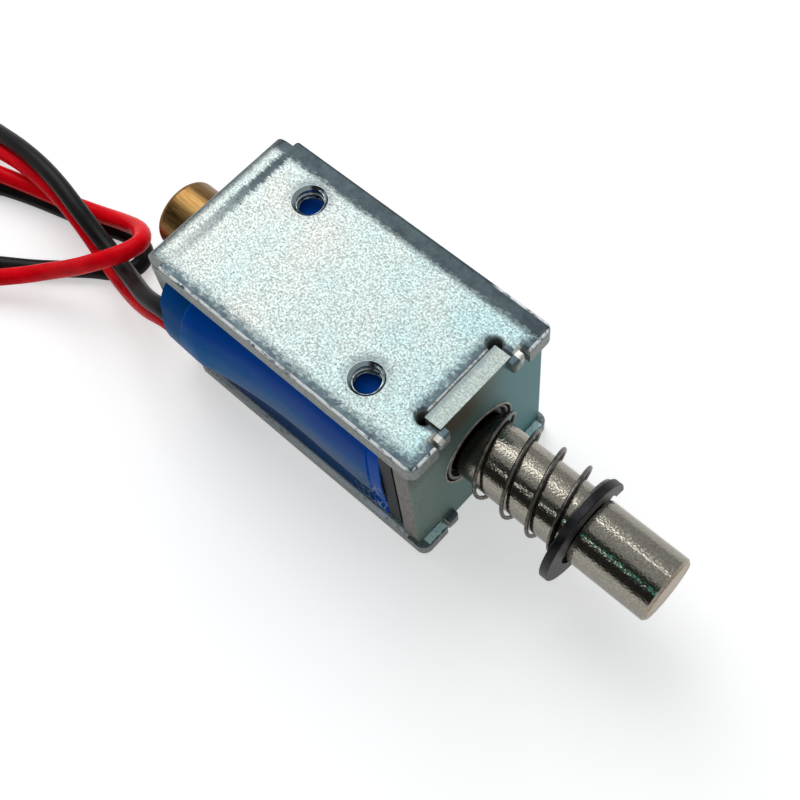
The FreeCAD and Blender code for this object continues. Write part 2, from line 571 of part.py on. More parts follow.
os.makedirs("parts", exist_ok=True)
save("frame_bracket", frame_bracket())
save("front_plate", front_plate())
save("bore_ring", bore_ring())
save("bobbin", bobbin())
save("coil_winding", coil_winding())
save("joint_film", joint_film())
save("tape_wrap", tape_wrap())
save("guide_tube", guide_tube())
save("fixed_core", fixed_core())
save("damper_pad", damper_pad())
save("plunger", plunger())
save("e_clip", e_clip())
save("return_spring", return_spring())
for colour, route, exit_z in (("red", RED_ROUTE, RED_EXIT_Z), ("black", BLACK_ROUTE, BLACK_EXIT_Z)):
    save(colour + "_lead", lead(colour + "_lead", route))
    save(colour + "_tip", tip(route))
    save(colour + "_splice", splice(exit_z))
    save(colour + "_sleeve", sleeve(exit_z))
    save(colour + "_winding_end", winding_end(exit_z))
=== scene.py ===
import math

import bmesh
import bpy
from mathutils import Matrix, Vector


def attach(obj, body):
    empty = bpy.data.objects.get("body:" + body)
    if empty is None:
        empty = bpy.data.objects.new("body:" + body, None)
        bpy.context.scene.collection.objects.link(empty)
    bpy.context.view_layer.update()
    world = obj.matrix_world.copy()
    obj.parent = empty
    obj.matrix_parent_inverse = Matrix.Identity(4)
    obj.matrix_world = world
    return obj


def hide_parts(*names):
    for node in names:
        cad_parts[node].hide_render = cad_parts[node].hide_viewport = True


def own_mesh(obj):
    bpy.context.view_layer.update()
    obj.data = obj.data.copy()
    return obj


# Small open-frame solenoid with a sprung plunger and a pair of free leads.
# The sizes below are in millimetres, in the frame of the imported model: the plunger runs along X
# and its tip points to +X.

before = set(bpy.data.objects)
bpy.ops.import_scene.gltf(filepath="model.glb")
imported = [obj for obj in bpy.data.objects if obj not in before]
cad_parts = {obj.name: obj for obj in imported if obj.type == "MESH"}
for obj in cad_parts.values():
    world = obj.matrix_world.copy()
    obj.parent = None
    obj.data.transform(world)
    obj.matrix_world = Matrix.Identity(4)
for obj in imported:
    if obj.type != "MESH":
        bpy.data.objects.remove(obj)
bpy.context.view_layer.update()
MM = 0.001

# Camera, solved from the photograph's outlines
CAMERA_PLACE = Vector((43.73, -30.76, 103.74)) * MM
CAMERA_TARGET = Vector((6.82, -1.33, 9.2)) * MM
CAMERA_ROLL = math.radians(-9.83)
CAMERA_LENS = 56.53
CAMERA_SENSOR = 36
CAMERA_NEAR = 1.0

# Light and ground. Lamps and floor are in metres.
LAMP_TARGET = Vector((5, 0, 9)) * MM
LAMP_AWAY = 0.6
DIM_PATCH = (-0.18, -0.82, 0.54)
DIM_PATCH_EDGE = (0.76, 0.88)
FLOOR_HALF = 1.5
FLOOR_GLOW = 0.46
FLOOR_GLOW_MIRRORED = 0.6

# Leads: their control points repeat the routes of the CAD tubes
LEAD_R = 0.85
FLOOR = LEAD_R
LEAD_START_X = -12.0
LEAD_START_Y = -8.67
RED_ROUTE = [
    (LEAD_START_X, LEAD_START_Y, 8.6), (-14.5, LEAD_START_Y, 8.6), (-18.1, -8.8, 6.7), (-22.5, -8.0, 4.3),
    (-27.3, -6.9, 2.9), (-30.5, -6.1, 3.3), (-33.3, -5.6, 4.2), (-36.4, -5.2, 4.6),
    (-40.1, -5.0, 4.5), (-43.8, -5.1, 4.0), (-47.4, -5.4, 3.0), (-51.4, -5.6, 1.7),
    (-55.6, -4.9, FLOOR), (-60.0, -5.2, FLOOR), (-63.2, -7.9, FLOOR), (-63.1, -11.7, FLOOR),
    (-59.8, -14.2, FLOOR), (-55.4, -13.2, 1.2), (-51.0, -10.4, 2.2), (-46.8, -7.8, 2.6),
    (-42.8, -6.5, 2.6), (-38.8, -5.4, 2.6), (-35.3, -4.5, 2.6), (-32.1, -3.6, 2.9),
    (-28.8, -3.0, 4.0), (-25.4, -3.0, 5.9), (-23.1, -4.4, 7.6), (-23.2, -6.5, 8.2),
    (-24.7, -8.3, 7.6), (-27.4, -9.9, 5.6), (-30.5, -11.4, 3.6), (-33.0, -13.2, 2.5),
    (-35.6, -15.4, 2.0), (-39.0, -17.8, 1.3), (-42.8, -19.7, FLOOR), (-47.2, -20.9, FLOOR),
    (-51.8, -21.2, FLOOR), (-56.4, -21.6, FLOOR), (-60.6, -21.0, FLOOR),
]
BLACK_ROUTE = [
    (LEAD_START_X, LEAD_START_Y, 10.7), (-14.3, LEAD_START_Y, 10.7), (-17.5, -8.6, 9.0), (-21.9, -7.4, 6.4),
    (-26.1, -6.4, 4.9), (-29.1, -5.9, 5.2), (-31.8, -5.5, 6.1), (-34.9, -4.9, 6.5),
    (-38.5, -4.4, 6.3), (-42.2, -4.2, 5.8), (-46.0, -4.2, 4.9), (-50.0, -4.1, 3.6),
    (-54.2, -3.0, 2.0), (-58.6, -2.2, 0.9), (-63.0, -3.4, FLOOR), (-65.9, -7.0, FLOOR),
    (-65.8, -11.8, FLOOR), (-62.8, -15.6, FLOOR), (-58.0, -16.6, FLOOR), (-53.2, -14.6, FLOOR),
    (-49.0, -11.0, FLOOR), (-45.2, -7.8, FLOOR), (-41.4, -6.4, FLOOR), (-38.0, -5.4, FLOOR),
    (-34.6, -4.5, FLOOR), (-32.0, -3.8, FLOOR), (-30.0, -3.0, FLOOR), (-27.9, -2.6, FLOOR),
    (-26.3, -3.3, FLOOR), (-25.9, -5.1, FLOOR), (-27.2, -6.7, FLOOR), (-29.1, -7.8, FLOOR),
    (-31.4, -9.6, FLOOR), (-33.8, -11.5, FLOOR), (-36.7, -13.4, FLOOR), (-40.2, -15.7, FLOOR),
    (-44.2, -17.8, FLOOR), (-48.6, -18.9, FLOOR), (-53.0, -19.1, FLOOR), (-57.6, -19.6, FLOOR),
    (-61.8, -19.0, FLOOR),
]

# Bare strands at the ends of the leads
STRANDS = 7
STRAND_R = 0.13
STRAND_PITCH = 2.05 * STRAND_R
STRAND_TWIST = 1.2           # turns over the bare length
STRAND_SHORTER = 0.012       # share by which each is shorter than the one before
STRAND_STEPS = 12
TIP_LENGTH = 5.0

# Frame
AXIS_Z = 9.2
FRAME_END = 15.3
FRAME_SIDE = 8.3
FRAME_TOP = 18.4
SHEET = 1.6
NOTCH_X = 12.8
NOTCH_HALF = 4.4
STAKE_X = 14.2
STAKE_WIDTH = 0.9
PLATE_FRONT_X = 14.4
TAP_HOLES = [(-7.8, 4.5), (7.2, -4.5)]
TAP_CORE_R = 1.25
TAP_CHAMFER = 0.3
TAP_CHAMFER_R = 1.55

# Marks of the sheet's plating and of the painted shade and highlights on it, each from its start to its full
# strength
OUTER_DEPTH = 0.6            # how deep the finish of the outer faces goes
FAR_STRIP = (6.0, 6.5)       # y, along the far side
FAR_SHADE = (1.5, 2.4)       # painted shade over darker plating, from either side
RIM_SHADE = (0.6, 1.6)       # painted shade over darker plating, from the rim
BEND_SHADE = (0.8, 1.6)      # painted shade where the sheet was bent, from the rear
BEND_STREAK = (2.4, 3.0)     # a second band of painted shade, from the rear
HOLE_SHADE = (1.6, 2.5)            # painted shade, from the middle of a tapped hole
ROLL = (0.08, 0.26)          # painted highlight on the rolled rim, from the rim
ROLL_REAR = (1.6, 2.2)       # where the painted highlight starts, from the rear
ROLL_FAR_END = (10.0, 9.0)   # x, where the painted highlight fades along the far side
INNER_AHEAD = (13.2, 13.3)   # x, where painted shade starts on the inner faces
INNER_EDGE = (7.85, 7.95)    # y on either side, a painted highlight on the inner faces
LIT_CORNER = (4.9, 7.4)      # y on either side, painted light ahead of the front plate

# Plunger, clip and guide tube
CLIP_X = 25.2
CLIP_R = 4.85
CLIP_Y = -0.5
TUBE_MOUTH_X = 14.0
TUBE_END_X = -21.55

# Tape round the winding. Its side that faces -Y bulges over the leads, and has a crease that climbs
# towards the rear.
TAPE_REAR_X = -13.3
TAPE_FRONT_X = 10.88
TAPE_LAYER_END_X = 9.5       # where the outer layer ends
TAPE_LAYER = 0.1
TAPE_LAYER_STEP = 0.02
TAPE_THICKNESS = 0.25
TAPE_LOW = 1.8
TAPE_HIGH = 16.6
TAPE_SIDE = 8.0
TAPE_CORNER_R = 4.2
TAPE_LOW_CORNER_R = 0.8
TAPE_STEPS = 40
TAPE_SHARP = math.radians(28)
SIDE_STEPS = 14
SIDE_SWELL = 0.25            # between the upper corner and the crease
SIDE_HOLLOW = 0.15           # below the crease
SIDE_FOOT = (0.25, 0.5, 0.75)    # shares of the way from the crease to the foot
RIPPLE = 0.03
RIPPLE_ALONG = 0.8
RIPPLE_DOWN = 4
CREASE_Z = 5.7
CREASE_CLIMB = 2.6
CREASE_OUT = 0.06
BULGE_START_X = 4.0
BULGE_FULL_X = -9.4
BULGE = 1.62                 # at the crease
BULGE_TOP = 1.35             # at the upper corner
BULGE_FALL = 2.4
LAP_X = -10.8
LAP_Z = 12.4
LAP_LEAN = 0.22

# Marks of the tape's film, with its painted shade and painted lilac reflection. Heights follow the rise of
# the crease.
FILM_SHADE_HEIGHTS = (8.6, 12.6)    # height of the painted shade under the frame's top
# Height where the painted lilac reflection over the crease fades
SHEEN_TOP = 7.6
SHEEN_ALONG = (-11.0, 3.0)   # x, of the painted lilac reflection
LAP_HEIGHTS = (10.0, 12.0)   # z
SPECKLE_ALONG = (-6.0, 6.0)  # x
GLUE_ALONG = (6.0, 9.0)      # x
GLUE_HEIGHTS = (6.5, 9.5)    # height

# Return spring, wound about X
SPRING_WIRE = 0.35
SPRING_MEAN_R = 3.65
SPRING_OPEN_TURNS = 4.0
SPRING_CLOSED_TURNS = 0.75
SPRING_OFFSET = 0.4
SPRING_SEAT_OFFSET = 0.06
SPRING_TILT = 0.9
SPRING_STEPS = 48            # to a turn

# Thread in the tapped holes
THREAD_PITCH = 0.5
THREAD_DEPTH = 0.17
THREAD_HALF_ROOT = 0.42 * THREAD_PITCH
THREAD_HALF_CREST = 0.04
THREAD_ROOT_SINK = 0.03      # into the wall of the hole
THREAD_END_SINK = 0.02
THREAD_STEPS = 40            # to a turn
THREAD_RUN_OUT = 12          # steps over which it grows at either end


class Shade:
    """One value in a material, so that shader maths reads as plain expressions."""

    def __init__(self, finish, socket):
        self.finish = finish
        self.socket = socket

    def maths(self, operation, *values):
        node = self.finish.nodes.new("ShaderNodeMath")
        node.operation = operation
        for place, value in enumerate(values):
            self.finish.feed(node.inputs[place], value)
        return Shade(self.finish, node.outputs[0])

    def __add__(self, other):
        return self.maths("ADD", self, other)

    __radd__ = __add__

    def __sub__(self, other):
        return self.maths("SUBTRACT", self, other)

    def __rsub__(self, other):
        return self.maths("SUBTRACT", other, self)

    def __mul__(self, other):
        return self.maths("MULTIPLY", self, other)

    __rmul__ = __mul__

    def __pow__(self, other):
        return self.maths("POWER", self, other)

    def __gt__(self, other):
        return self.maths("GREATER_THAN", self, other)

    def __lt__(self, other):
        return self.maths("LESS_THAN", self, other)

    def __abs__(self):
        return self.maths("ABSOLUTE", self)

    def wave(self):
        """Its sine, brought between 0 and 1."""
        return self.maths("SINE", self) * 0.5 + 0.5

    def between(self, low, high):
        """0 at low, 1 at high and past it, and an even climb from one to the other."""
        return self.finish.add("ShaderNodeMapRange", {"clamp": True}, {
            "Value": self, "From Min": low, "From Max": high})["Result"]

    def band(self, low, high, soft):
        """1 from low to high, falling to 0 over soft on either side."""
        return self.between(low - soft, low) * (1 - self.between(high, high + soft))

    def least(self, other):
        return self.maths("MINIMUM", self, other)

    def most(self, other):
        return self.maths("MAXIMUM", self, other)


class Nodes:
    """A node tree, to which every kind of node is added in the same way."""

    def __init__(self, tree):
        self.tree = tree
        self.nodes = tree.nodes

    def feed(self, socket, value):
        """Link or set one input socket."""
        if isinstance(value, Shade):
            self.tree.links.new(value.socket, socket)
        else:
            socket.default_value = value

    def add(self, kind, settings=None, inputs=None):
        """A node of that type, with its settings and then its inputs. Gives its outputs by name."""
        node = self.nodes.new(kind)
        for name, value in (settings or {}).items():
            setattr(node, name, value)
        for name, value in (inputs or {}).items():
            self.feed(node.inputs[name], value)
        return {out.name: Shade(self, out) for out in node.outputs if out.enabled}

    def vector(self, operation, first, second):
        node = self.nodes.new("ShaderNodeVectorMath")
        node.operation = operation
        self.feed(node.inputs[0], first)
        self.feed(node.inputs[1], second)
        return Shade(self, node.outputs["Value" if operation == "DOT_PRODUCT" else "Vector"])

    def parts(self, value):
        """The three parts of a vector."""
        split = self.add("ShaderNodeSeparateXYZ", {}, {"Vector": value})
        return split["X"], split["Y"], split["Z"]

    def mix(self, factor, first, second):
        """A colour between two colours."""
        node = self.nodes.new("ShaderNodeMix")
        node.data_type = "RGBA"
        self.feed(node.inputs["Factor"], factor)
        colours = [socket for socket in node.inputs if socket.type == "RGBA"]
        self.feed(colours[0], first)
        self.feed(colours[1], second)
        return Shade(self, [socket for socket in node.outputs if socket.type == "RGBA"][0])

    def tone(self, colour, amount):
        """A colour made darker or lighter by an amount round 1."""
        return self.vector("MULTIPLY", colour, amount)


class Finish(Nodes):
    """A procedural material for one finish of the solenoid, measured in millimetres."""

    def __init__(self, name, **constants):
        self.material = bpy.data.materials.new(name)
        self.material.use_nodes = True
        super().__init__(self.material.node_tree)
        self.surface = self.nodes["Principled BSDF"]
        for socket, value in constants.items():
            self.surface.inputs[socket.replace("_", " ")].default_value = value
        where = self.add("ShaderNodeTexCoord")
        self.place = self.vector("MULTIPLY", where["Object"], (1 / MM,) * 3)
        self.x, self.y, self.z = self.parts(self.place)
        self.facing = where["Normal"]

    def noise(self, size, stretch=(1, 1, 1), detail=3.0, rough=0.5):
        """Cloudy noise whose patches are about size millimetres across."""
        place = self.vector("MULTIPLY", self.place, tuple(1 / (size * s) for s in stretch))
        return self.add("ShaderNodeTexNoise", {}, {
            "Vector": place, "Scale": 1.0, "Detail": detail, "Roughness": rough})["Fac"]

    def cells(self, size, stretch=(1, 1, 1), feature="F1"):
        """Distance to the nearest of many scattered points, in cells of that size."""
        place = self.vector("MULTIPLY", self.place, tuple(1 / (size * s) for s in stretch))
        return self.add("ShaderNodeTexVoronoi", {"feature": feature}, {
            "Vector": place, "Scale": 1.0})["Distance"]

    def from_axis(self, y=0.0):
        """Distance from the plunger's axis, or from a line beside it."""
        return ((self.y - y) ** 2 + (self.z - AXIS_Z) ** 2) ** 0.5

    def wear(self, **sockets):
        """Feed the surface's varying sockets."""
        for socket, value in sockets.items():
            self.feed(self.surface.inputs[socket.replace("_", " ")], value)
        return self

    def bump(self, height, depth, strength=1.0):
        """Raise the surface by a height from 0 to 1, depth millimetres deep."""
        out = self.add("ShaderNodeBump", {}, {"Height": height, "Distance": depth * MM, "Strength": strength})
        self.feed(self.surface.inputs["Normal"], out["Normal"])
        return self


def grey(value):
    return (value, value, value, 1)


def rgb(red, green, blue):
    return (red, green, blue, 1)


def dress(finish, *nodes):
    """Give CAD nodes their finish."""
    for node in nodes:
        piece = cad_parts[node]
        piece.data.materials.clear()
        piece.data.materials.append(finish.material)


class ZincSheet(Finish):
    """Blue-passivated zinc: grained and pale in the middle, slate with painted shade near the edges, and a
    painted highlight along the rolled rim.
    """

    def __init__(self):
        super().__init__("zinc_sheet")
        self.flat = abs(self.parts(self.facing)[2]).between(0.45, 0.8)
        self.outer = abs(self.z - AXIS_Z) > FRAME_TOP / 2 - OUTER_DEPTH
        self.inner = (1 - self.outer) * self.flat
        self.from_side = FRAME_SIDE - abs(self.y)
        self.from_rear = self.x + FRAME_END
        self.far_side = self.y.between(*FAR_STRIP)
        self.mouth = (abs(self.y) - NOTCH_HALF).most(0.0)
        notch = (NOTCH_X - self.x).most(0.0) + self.mouth * 3.0
        self.from_rim = self.from_side.least(FRAME_END - self.x).least(notch)
        self.grain = self.noise(0.17, (1, 1, 1), 2.0, 0.8)
        self.ragged = self.noise(0.3, (1.6, 1, 1), 3.0, 0.7) - 0.5
        self.highlight_beads = self.noise(0.35, (1.6, 1, 1), 2.0, 0.5).between(0.3, 0.5)
        self.torn = self.noise(0.25, (1, 1, 3), 3.0, 0.7)

    def hole_marks(self):
        """Painted shade beside each tapped hole, stronger on its upper side, and the bright metal of its
        chamfer.
        """
        hole_shade = chamfer = 0.0
        for x, y in TAP_HOLES:
            away = ((self.x - x) ** 2 + (self.y - y) ** 2) ** 0.5
            upper = (self.y - y - (self.x - x) * 0.6).between(-1.0, 2.2)
            ring = 1 - (away + self.ragged * 0.5).between(*HOLE_SHADE)
            hole_shade = (ring * (0.2 + 0.8 * upper)).most(hole_shade)
            chamfer = (away < TAP_CHAMFER_R + 0.02).most(chamfer)
        return hole_shade, chamfer

    def bend_shade_bands(self):
        """Two bands of painted shade across the sheet, where it was bent."""
        streaks = self.noise(0.3, (5, 0.5, 1), 3.0, 0.7) - 0.5
        at_bend = 1 - (self.from_rear + streaks * 1.1).between(*BEND_SHADE)
        ahead = (self.from_rear + streaks * 1.3 + self.ragged * 0.5).band(*BEND_STREAK, 0.4)
        return at_bend.most(ahead * (0.25 + 0.75 * self.y.between(-7.0, 3.0)))

    def edge_shade(self):
        """Painted shade along the rim, and wider along the far side, over plating that is darker there too.
        """
        near_rim = 1 - (self.from_rim + self.ragged * 2.2).between(*RIM_SHADE)
        wide = 1 - (self.from_side + self.ragged * 1.4).between(*FAR_SHADE)
        return near_rim.most(self.far_side * wide)

    def painted_roll_highlight(self):
        """A painted highlight: the line along the rim where the rolled edge of the sheet catches the light.
        """
        corner = (abs(self.y) - 7.0).most(0.0) + (self.x - FRAME_END + 1.3).most(0.0)
        line = self.from_rim.band(*ROLL, 0.08) * (1 - corner.between(1.7, 2.1))
        line = line * (1 - self.far_side * self.x.between(*ROLL_FAR_END))
        line = line * self.from_rear.between(*ROLL_REAR)
        return line * self.outer * (1 - self.mouth.band(0.02, 0.8, 0.02))

    def pale(self):
        """Grained zinc, warmer at the rear and bluer towards the front."""
        patches = self.noise(5.0, (1, 1, 1), 2.0, 0.5)
        forward = self.x.between(-4.0, 14.0) * 0.6 + patches.between(0.35, 0.75) * 0.55
        middle = self.mix(forward, rgb(0.70, 0.73, 0.69), rgb(0.54, 0.76, 0.77))
        return self.tone(middle, self.mix(self.grain.between(0.36, 0.62), grey(0.45), grey(1.3)))

    def slate(self, deep):
        """The blue-grey plating of the darker zones near the edges, deeper under the painted shade of the
        bent rear and along the far side.
        """
        cloud = self.noise(0.9, (1, 1, 1), 3.0, 0.6).between(0.35, 0.7)
        slate = self.mix(cloud, rgb(0.045, 0.075, 0.095), rgb(0.11, 0.165, 0.185))
        return self.tone(slate, self.mix(deep, grey(1.0), grey(0.55)))

    def faces(self, dark, bend, roll):
        """The broad faces with the painted highlight on their roll and their specks, and the cut edges
        between them.
        """
        # Slate plating where painted shade falls
        top = self.mix(dark, self.pale(), self.slate(bend.most(self.far_side)))
        # Painted highlight: white beads along the rolled rim
        top = self.mix(roll * self.highlight_beads, top, rgb(0.97, 1.0, 1.0))
        cut = self.mix(self.torn.between(0.3, 0.7), rgb(0.20, 0.225, 0.21), rgb(0.38, 0.42, 0.39))
        specks = (self.cells(1.9) < 0.045) * self.flat
        return self.mix(specks * 0.8, self.mix(self.flat, cut, top), rgb(0.05, 0.03, 0.03))

    def inner_rim(self, ahead, lit, edge, colour):
        """The inner faces: a painted highlight along the rim beside the tape, painted shade from the front
        plate forward, and painted light on the corners ahead of the front plate.
        """
        rim = self.mix(self.highlight_beads, rgb(0.5, 0.56, 0.54), rgb(0.9, 0.96, 0.96))
        # Painted highlight along the inner rim, and painted shade from the front plate forward
        colour = self.tone(self.mix(edge, colour, rim), self.mix(ahead, grey(1.0), grey(0.4)))
        # Painted light: bright glints on the corners ahead of the front plate
        painted_glints = self.mix(self.grain.between(0.38, 0.58), rgb(0.3, 0.86, 0.95), rgb(0.92, 1.0, 1.0))
        return self.mix(lit, colour, painted_glints)

    def stakes(self, colour):
        """The punched stake tops, painted pale cream as their highlight."""
        stake = (self.mouth > 0.0) * (self.mouth < STAKE_WIDTH) * (self.x > STAKE_X) * self.outer
        cloud = self.noise(0.5).between(0.35, 0.65)
        return self.mix(stake, colour, self.mix(cloud, rgb(0.42, 0.41, 0.37), rgb(0.80, 0.80, 0.75)))


def zinc_sheet():
    """The frame's finish, with its painted shade and painted highlights."""
    zinc = ZincSheet()
    hole_shade, chamfer = zinc.hole_marks()
    bend = zinc.bend_shade_bands()
    roll = zinc.painted_roll_highlight()
    # Painted shade over darker plating: along the rim, where the sheet was bent and beside the tapped holes;
    # weaker on the inner faces
    dark = zinc.edge_shade().most(bend).most(hole_shade * 0.8) * (0.45 + 0.55 * zinc.outer)
    # Painted shade on the inner faces from the front plate forward, with a painted highlight along their rim
    ahead = zinc.inner * zinc.x.between(*INNER_AHEAD)
    edge = zinc.inner * abs(zinc.y).between(*INNER_EDGE) * (1 - ahead)
    lip = (zinc.x + zinc.ragged * 0.3).band(PLATE_FRONT_X + 0.1, FRAME_END - 0.15, 0.06)
    # Painted light on the corners of the inner faces ahead of the front plate
    lit = ahead * lip * abs(zinc.y).band(*LIT_CORNER, 0.1)
    colour = zinc.inner_rim(ahead, lit, edge, zinc.faces(dark, bend, roll))
    # Painted highlight on the stakes, and the bare metal of the tapped holes' chamfers
    colour = zinc.mix(chamfer, zinc.stakes(colour), rgb(0.36, 0.43, 0.45))
    # Less metal where the painted highlights and painted light lie
    zinc.wear(Base_Color=colour, Metallic=(0.55 - roll.most(lit).most(edge) * 0.5).most(chamfer),
              Roughness=0.52 - dark * 0.1 - chamfer * 0.3)
    return zinc.bump(zinc.grain * 0.6 * (1 - chamfer) + zinc.torn * (1 - zinc.flat) * 0.6, 0.04, 0.5)


def cut_thread():
    """Cut metal inside a tapped hole, dark and bright by turns."""
    cut = Finish("cut_thread", Metallic=1.0, Roughness=0.16)
    cloud = cut.noise(0.4).between(0.35, 0.65)
    return cut.wear(Base_Color=cut.mix(cloud, rgb(0.07, 0.10, 0.11), rgb(0.5, 0.56, 0.57)))


def zinc_plate():
    """The front plate: the same zinc, greener and duller, with pits beside its sheared edge and painted shade
    under the frame's top.
    """
    plate = Finish("zinc_plate", Metallic=0.55)
    ahead, _, up = plate.parts(plate.facing)
    grain = plate.noise(0.14, (1, 1, 1), 2.0, 0.8)
    face = plate.mix(plate.y.between(-6.5, 4.0), rgb(0.205, 0.285, 0.245), rgb(0.125, 0.28, 0.29))
    # Painted shade: darker olive high on the front plate, under the frame's top
    shade_under_top = plate.z.between(12.5, 16.5) * (1 - plate.y.between(-1.0, 4.0))
    face = plate.mix(shade_under_top, face, rgb(0.10, 0.092, 0.06))
    face = plate.tone(face, plate.mix(grain.between(0.4, 0.6), grey(0.85), grey(1.12)))
    beside = plate.mix(plate.y.band(-7.4, -6.9, 0.6), grey(0.05), grey(0.24))
    pits = (plate.cells(0.5) < beside) * plate.noise(0.8).between(0.42, 0.52)
    face = plate.mix(pits * 0.85, face, rgb(0.05, 0.06, 0.055))
    sheared = plate.noise(0.4, (1, 1, 2)).between(0.35, 0.65)
    edge = plate.mix(sheared, rgb(0.17, 0.16, 0.14), rgb(0.28, 0.265, 0.24))

    # The ends of the tabs, seen from above
    level = up.between(0.5, 0.8)
    ridges = plate.noise(0.34, (4, 0.45, 1), 3.0, 0.7).between(0.3, 0.7)
    mottle = plate.noise(0.2, (1, 1, 1), 2.0, 0.8).between(0.36, 0.62)
    tab = plate.mix(ridges * 0.35 + mottle * 0.65, rgb(0.27, 0.34, 0.32), rgb(0.72, 0.80, 0.76))
    # Darker towards the rear of each tab's end, with a patchy edge
    patchy = plate.noise(0.5, (1, 1, 1), 3.0, 0.7)
    rear = 1 - (plate.x + patchy * 0.7 - 0.35).between(13.0, 13.35)
    tab = plate.mix(rear * 0.7, tab, rgb(0.25, 0.32, 0.33))
    colour = plate.mix(level, plate.mix(abs(ahead).between(0.5, 0.8), edge, face), tab)
    plate.wear(Base_Color=colour, Roughness=0.42 + grain * 0.2)
    return plate.bump(grain + ridges * level, 0.03, 0.5)


def blue_film():
    """Polyester tape: deep glossy blue, with a lap, a crease and smears of glue at its front end, and with
    painted shade high up and under the crease, and a painted lilac reflection and highlight on the crease.
    """
    film = Finish("blue_film", IOR=1.07)
    rise = (BULGE_START_X - film.x).most(0.0) * (CREASE_CLIMB / (BULGE_START_X - TAPE_REAR_X))
    height = film.z - rise + film.noise(1.5) * 0.1 - 0.05

    # Painted shade: deeper blue higher up, under the frame's top; and a painted lilac reflection over the
    # crease
    upper = (height + film.noise(4.0) * 1.6).between(*FILM_SHADE_HEIGHTS)
    blue = film.mix(upper, rgb(0.004, 0.165, 0.47), rgb(0.0, 0.075, 0.42))
    # Painted reflection: a lilac sheen over the crease
    lilac_sheen = height.band(CREASE_Z + 0.1, SHEEN_TOP, 2.0) * film.x.between(*SHEEN_ALONG)
    blue = film.mix(lilac_sheen * 0.75, blue, rgb(0.09, 0.17, 0.33))

    # The end of the tape, laid over itself near the rear
    lap = film.x - (film.z - LAP_Z) * LAP_LEAN + film.noise(1.5) * 0.3 - 0.15
    blue = film.mix((1 - lap.between(LAP_X - 0.06, LAP_X)) * 0.55, blue, rgb(0.004, 0.075, 0.22))
    seam = lap.band(LAP_X, LAP_X + 0.05, 0.04) * film.z.between(*LAP_HEIGHTS)
    blue = film.mix(seam * 0.5, blue, rgb(0.03, 0.25, 0.66))

    # Painted shade: the dark speckled strip under the crease
    below = 1 - height.between(CREASE_Z - 0.06, CREASE_Z)
    speckle = film.noise(0.16, (1, 1, 1), 2.0, 0.7).between(0.5, 0.68) * film.x.between(*SPECKLE_ALONG)
    blue = film.mix(below * 0.9, blue, film.mix(speckle, rgb(0.001, 0.018, 0.09), rgb(0.01, 0.16, 0.38)))
    # A painted highlight along the crease
    crease = height.band(CREASE_Z, CREASE_Z + 0.12, 0.08)
    blue = film.mix(crease * 0.6, blue, rgb(0.30, 0.27, 0.44))

    # The single layer at the front end, with its glue, and scattered dust
    under = film.x.between(TAPE_LAYER_END_X - 0.1, TAPE_LAYER_END_X)
    webs = 1 - film.cells(0.9, (1.0, 1.0, 1.4), "DISTANCE_TO_EDGE").between(0.015, 0.07)
    smear = under.most(film.x.between(*GLUE_ALONG) * 0.8) * (1 - height.between(*GLUE_HEIGHTS))
    glue = webs * film.noise(1.3).between(0.38, 0.5) * smear
    blue = film.mix(under * 0.7, blue, rgb(0.002, 0.11, 0.62))
    blue = film.mix(glue * 0.85, blue, rgb(0.44, 0.50, 0.58))
    blue = film.mix((film.cells(1.3) < 0.04) * 0.5, blue, rgb(0.4, 0.45, 0.6))
    film.wear(Base_Color=blue, Roughness=0.26 + below * 0.25 + smear * 0.15)
    return film.bump(film.noise(3.5, (2, 1, 1), 2.0) + glue * 0.3, 0.12, 0.35)


def brass():
    """Drawn brass with fine streaks along the tube, a darker rolled rim and a mouth painted near black as the
    shade inside the bore.
    """
    tube = Finish("drawn_brass", Metallic=1.0)
    streaks = tube.noise(0.22, (9, 1, 1), 3.0, 0.7)
    rim = 1 - (tube.x - TUBE_END_X).between(0.25, 0.9)
    colour = tube.mix(streaks.between(0.35, 0.65), rgb(0.19, 0.095, 0.026), rgb(0.31, 0.19, 0.07))
    colour = tube.mix(rim * 0.5, colour, rgb(0.25, 0.11, 0.03))
    # Painted shade: the tube's mouth inside the bore, near black
    colour = tube.mix(tube.x.between(8.0, 11.0), colour, grey(0.03))
    tube.wear(Base_Color=colour, Roughness=0.22 + streaks * 0.2)
    return tube.bump(streaks, 0.02, 0.4)


def nickel():
    """Bright nickel over turned steel: pebbled along its side, warm and stained on its end, with painted
    shade where it goes into the frame.
    """
    plunger = Finish("bright_nickel", Metallic=1.0)
    end = plunger.parts(plunger.facing)[0].between(0.5, 0.9)
    pebbles = plunger.cells(0.17, (1.3, 1, 1))
    scratches = plunger.noise(0.12, (14, 1, 1), 2.0, 0.6)
    side = plunger.mix(pebbles.between(0.1, 0.8), rgb(0.27, 0.25, 0.205), rgb(0.40, 0.375, 0.32))
    # Painted shade on the side, where the plunger goes into the frame
    out = plunger.x.between(FRAME_END - 0.1, FRAME_END + 1.1)
    side = plunger.mix(out, plunger.tone(side, (0.13, 0.13, 0.12)), side)
    turned = (plunger.from_axis() * 9.0 + plunger.noise(1.0) * 2.0).wave()
    face = plunger.mix(turned * 0.4, rgb(0.50, 0.42, 0.31), rgb(0.40, 0.33, 0.24))
    rust = plunger.noise(0.5, (1, 3, 1), 3.0, 0.7).between(0.52, 0.66) * plunger.from_axis().between(1.4, 2.6)
    face = plunger.mix(rust * 0.7, face, rgb(0.28, 0.10, 0.04))
    face = plunger.mix(plunger.cells(0.6) < 0.1, face, rgb(0.05, 0.04, 0.03))
    plunger.wear(Base_Color=plunger.mix(end, side, face), Roughness=0.1 + end * 0.25 + scratches * 0.1)
    return plunger.bump(pebbles + scratches * 0.2, 0.016, 0.6)


